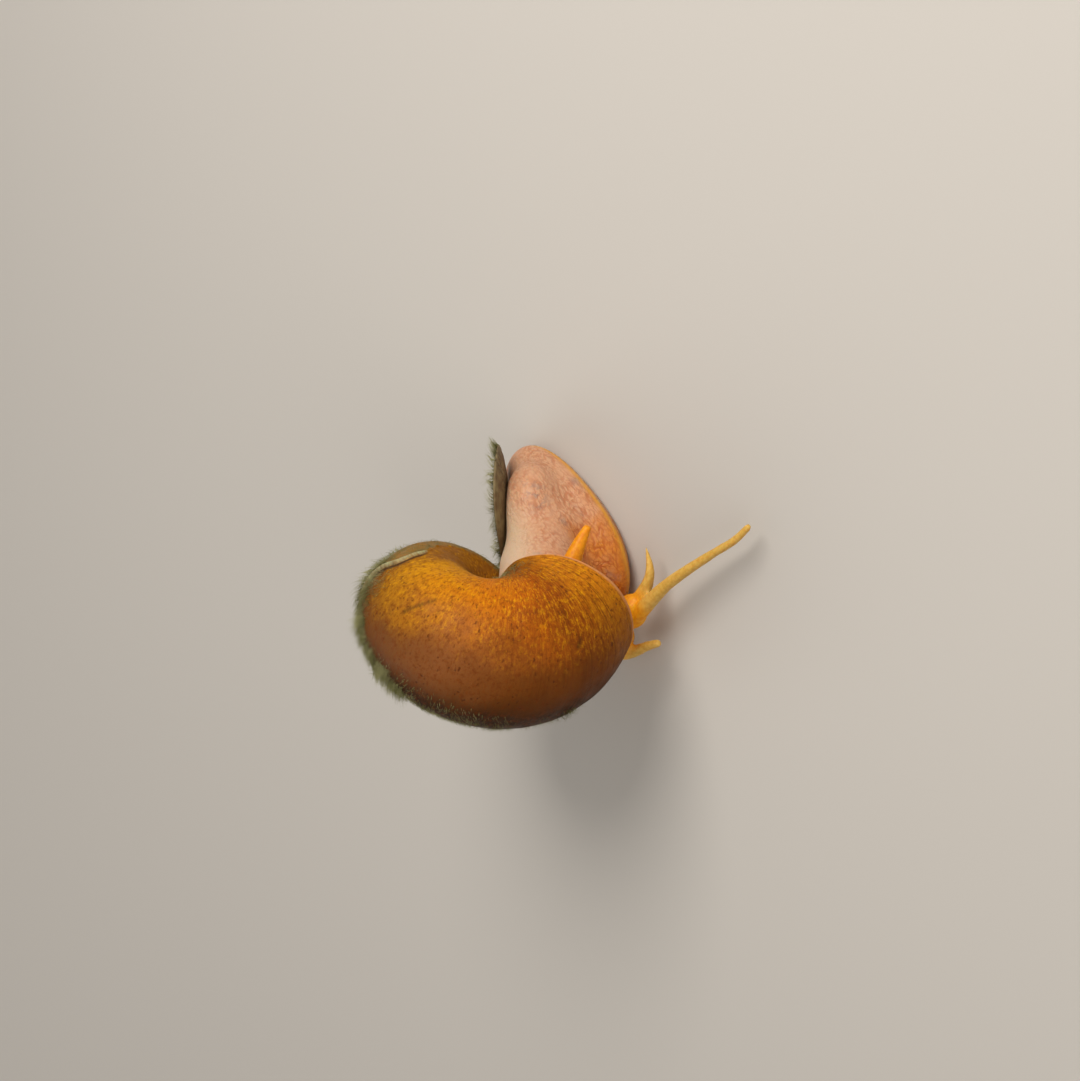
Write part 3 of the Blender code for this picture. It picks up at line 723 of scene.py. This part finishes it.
def plant_thread(shape, root, up, lean, length, place):
    """One thread from its root, bent towards lean, with its patch of the map at place."""
    side = up.cross(lean).normalized()
    front = side.cross(up)
    grown = []
    for a, b, rise in thread_spots:
        bend = front * (length * THREAD_BEND * rise**2)
        spine = root + up * (length * (rise - THREAD_ROOTED)) + bend
        grown.append(spine + (side * a + front * b) * THREAD_WIDTH)
    one = thread.copy()
    one.vertices.foreach_set("co", np.array(grown, np.float32).ravel() * MM)
    patch = thread_patch + np.array(place, np.float32)
    one.uv_layers["OFBake"].data.foreach_set("uv", patch.ravel())
    shape.from_mesh(one)
    bpy.data.meshes.remove(one)


def algae_share(turns, around):
    """How thickly the threads grow there, from 0 to 1."""
    degrees = math.degrees(around)
    under = math.sin(min(math.pi, max(0.0, (around - UNDERSIDE_FROM) * 1.35)))
    young = under * min(1.0, max(0.0, (-0.05 - turns) * 5))
    old = OLD_SHELL_SHARE if turns < old_lip_at(around) - 0.01 else 0.0
    at_suture = math.exp(-(((degrees - SUTURE_AT) / SUTURE_WIDTH) ** 2))
    at_suture *= smooth_step(-turns, 0.02, 0.05) * (1 - smooth_step(-turns, 0.26, 0.34))
    clumps = noise.noise(on_coil(turns, around) / MM * CLUMPS_A_MM) + 0.5
    share = max(young, old, SUTURE_SHARE * at_suture) * min(1.0, max(0.0, clumps * 1.8))
    return max(share, fringe(turns, degrees))


def fringe(turns, degrees):
    """Where the threads are longest, in a band along the old lip, from 0 to 1."""
    start = 0.41 - 0.12 * smooth_step(degrees, 15, 50)
    across = smooth_step(-turns, start, start + 0.05) * (1 - smooth_step(-turns, 0.53, 0.60))
    return across * smooth_step(degrees, -40, 10) * (1 - smooth_step(degrees, 95, 150))


def plant_on_shell(shape, turns, around, length, lean):
    """One thread on the shell, unless another part of the shell lies close over its root."""
    root = on_coil(turns, around) / MM
    ahead = on_coil(turns + 0.002, around) / MM - root
    aside = on_coil(turns, around + 0.01) / MM - root
    up = ahead.cross(aside).normalized()
    if up.dot(root - on_coil(turns, around + math.pi) / MM) < 0:
        up.negate()
    root += up * shell_relief(turns, around)
    if shell_tree.ray_cast((root + up * 0.1) * MM, up)[0] is not None:
        return False
    sway = noise.noise_vector(root * 0.25) * 0.9 + noise.noise_vector(root * 1.1) * 0.8 + lean
    place = (BAKE_SPAN * WHORL_GROWTH**turns, BAKE_SPAN * (around / (2 * math.pi) + 0.5))
    stand = (up + sway * 0.5).normalized()
    plant_thread(shape, root, stand, sway - up * 0.4, length, place)
    return True


shape = bmesh.new()
planted = 0
while planted < THREADS_ON_SHELL:
    turns = -ALGAE_REACH * (1.0 - math.sqrt(random.random()))
    around = random.uniform(-math.pi, math.pi)
    if random.random() > algae_share(turns, around) * WHORL_GROWTH ** (2 * turns + 0.3):
        continue
    shaggy = fringe(turns, math.degrees(around))
    length = random.uniform(0.2, 0.7) + shaggy * random.uniform(0.2, 1.8)
    planted += plant_on_shell(shape, turns, around, length, SWEEP)
for turns, degrees, count, length, lean in TUFTS:
    for _ in range(count):
        spot = turns + random.gauss(0, 0.006), math.radians(degrees + random.gauss(0, 3.5))
        way = Vector(lean) + Vector([random.gauss(0, 0.35) for _ in range(3)])
        plant_on_shell(shape, *spot, length * random.uniform(0.4, 1.2), way)
algae = as_piece("algae_on_shell", shape)
green = Finish("green algae")
space = green.node("ShaderNodeTexCoord").outputs["Object"]
patchy = green.between(green.noise(space, 300.0, 4.0), 0.4, 0.62)
colour = green.blend(patchy, *ALGAE_GREENS)
grain = green.bump(green.noise(space, 5000.0, 2.0), 0.00003, 0.5)
green.plug(green.shader, {"Base Color": colour, "Roughness": 0.8, "Normal": grain})
algae.data.materials.append(green.material)
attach(algae, "root")

shape = bmesh.new()
for _ in range(THREADS_ON_DOOR):
    reach = math.sqrt(random.choice((random.uniform(0.05, 0.97), random.uniform(0.85, 0.99))))
    around = random.uniform(0, 2 * math.pi)
    root = on_door(reach, around, 1) / MM
    outward = (root - DOOR_CENTRE).normalized()
    sway = noise.noise_vector(root * 0.4) + noise.noise_vector(root * 1.3) * 0.8
    length = random.uniform(0.4, 1.1) + reach**4 * random.uniform(0.0, 1.6)
    place = (
        BAKE_DOOR_MIDDLE + BAKE_DOOR_REACH * reach * math.cos(around),
        BAKE_DOOR_MIDDLE + BAKE_DOOR_REACH * reach * math.sin(around),
    )
    stand = (DOOR_OUT + outward * reach * 0.5 + sway * 0.5).normalized()
    plant_thread(shape, root, stand, sway + outward * 0.4, length, place)
door_algae = as_piece("algae_on_operculum", shape)
door_algae.data.materials.append(green.material)
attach(door_algae, "root")

# The floor that the sole rests on, the soft lights and the camera, which looks down on the left
# side with the head towards the lower right. The floor is one sheet of pale matt paper, laid a
# hair below the sole.
FLOOR_HALF_WIDTH = 1.5
FLOOR_DROP = -0.00005
PAPER = (0.55, 0.53, 0.51)
LAMP_WHITE = (1.0, 0.94, 0.85)
LAMPS_POINT_AT = Vector((0.0, -0.005, 0.02))
ROOM_WHITE = (0.86, 0.82, 0.76)
ROOM_STRENGTH = 0.35
CAMERA_PLACE = Vector((0.2429, -0.1274, 0.2155))
CAMERA_TURN = Matrix(
    ((0.3569, 0.6138, 0.7042), (-0.5478, 0.7481, -0.3744), (-0.7567, -0.2522, 0.6032))
)
PICTURE_WIDTH = 1080
LENS_IN_PIXELS = 2167.45

shape = bmesh.new()
bmesh.ops.create_grid(shape, x_segments=1, y_segments=1, size=FLOOR_HALF_WIDTH)
bmesh.ops.translate(shape, vec=(0, 0, FLOOR_DROP), verts=shape.verts)
floor = as_piece("floor", shape)
paper = Finish("pale paper")
paper.plug(paper.shader, {"Base Color": PAPER, "Roughness": 0.9})
floor.data.materials.append(paper.material)


def soft_light(name, direction, distance, width, power):
    """A round soft light that shines on the snail from one direction."""
    lamp = bpy.data.lights.new(name, "AREA")
    lamp.shape = "DISK"
    lamp.size = width
    lamp.energy = power
    lamp.color = LAMP_WHITE
    light = bpy.data.objects.new(name, lamp)
    direction = Vector(direction).normalized()
    light.location = direction * distance + LAMPS_POINT_AT
    light.rotation_euler = direction.to_track_quat("Z", "Y").to_euler()
    bpy.context.scene.collection.objects.link(light)


soft_light("key", (0.84, 0.41, 0.70), 0.5, 0.30, 2.3)
soft_light("fill", (0.55, -0.85, 0.55), 0.6, 0.45, 0.9)
soft_light("back", (-0.8, 0.3, 0.8), 0.6, 0.45, 0.7)
world = bpy.data.worlds.new("studio")
world.use_nodes = True
room = world.node_tree.nodes["Background"].inputs
room["Color"].default_value = (*ROOM_WHITE, 1.0)
room["Strength"].default_value = ROOM_STRENGTH
bpy.context.scene.world = world
bpy.context.scene.view_settings.view_transform = "Standard"

lens = bpy.data.cameras.new("camera")
lens.sensor_fit = "HORIZONTAL"
lens.angle = 2 * math.atan(PICTURE_WIDTH / 2 / LENS_IN_PIXELS)
lens.clip_start = 0.01
camera = bpy.data.objects.new("camera", lens)
camera.matrix_world = Matrix.Translation(CAMERA_PLACE) @ CAMERA_TURN.to_4x4()
bpy.context.scene.collection.objects.link(camera)
bpy.context.scene.camera = camera
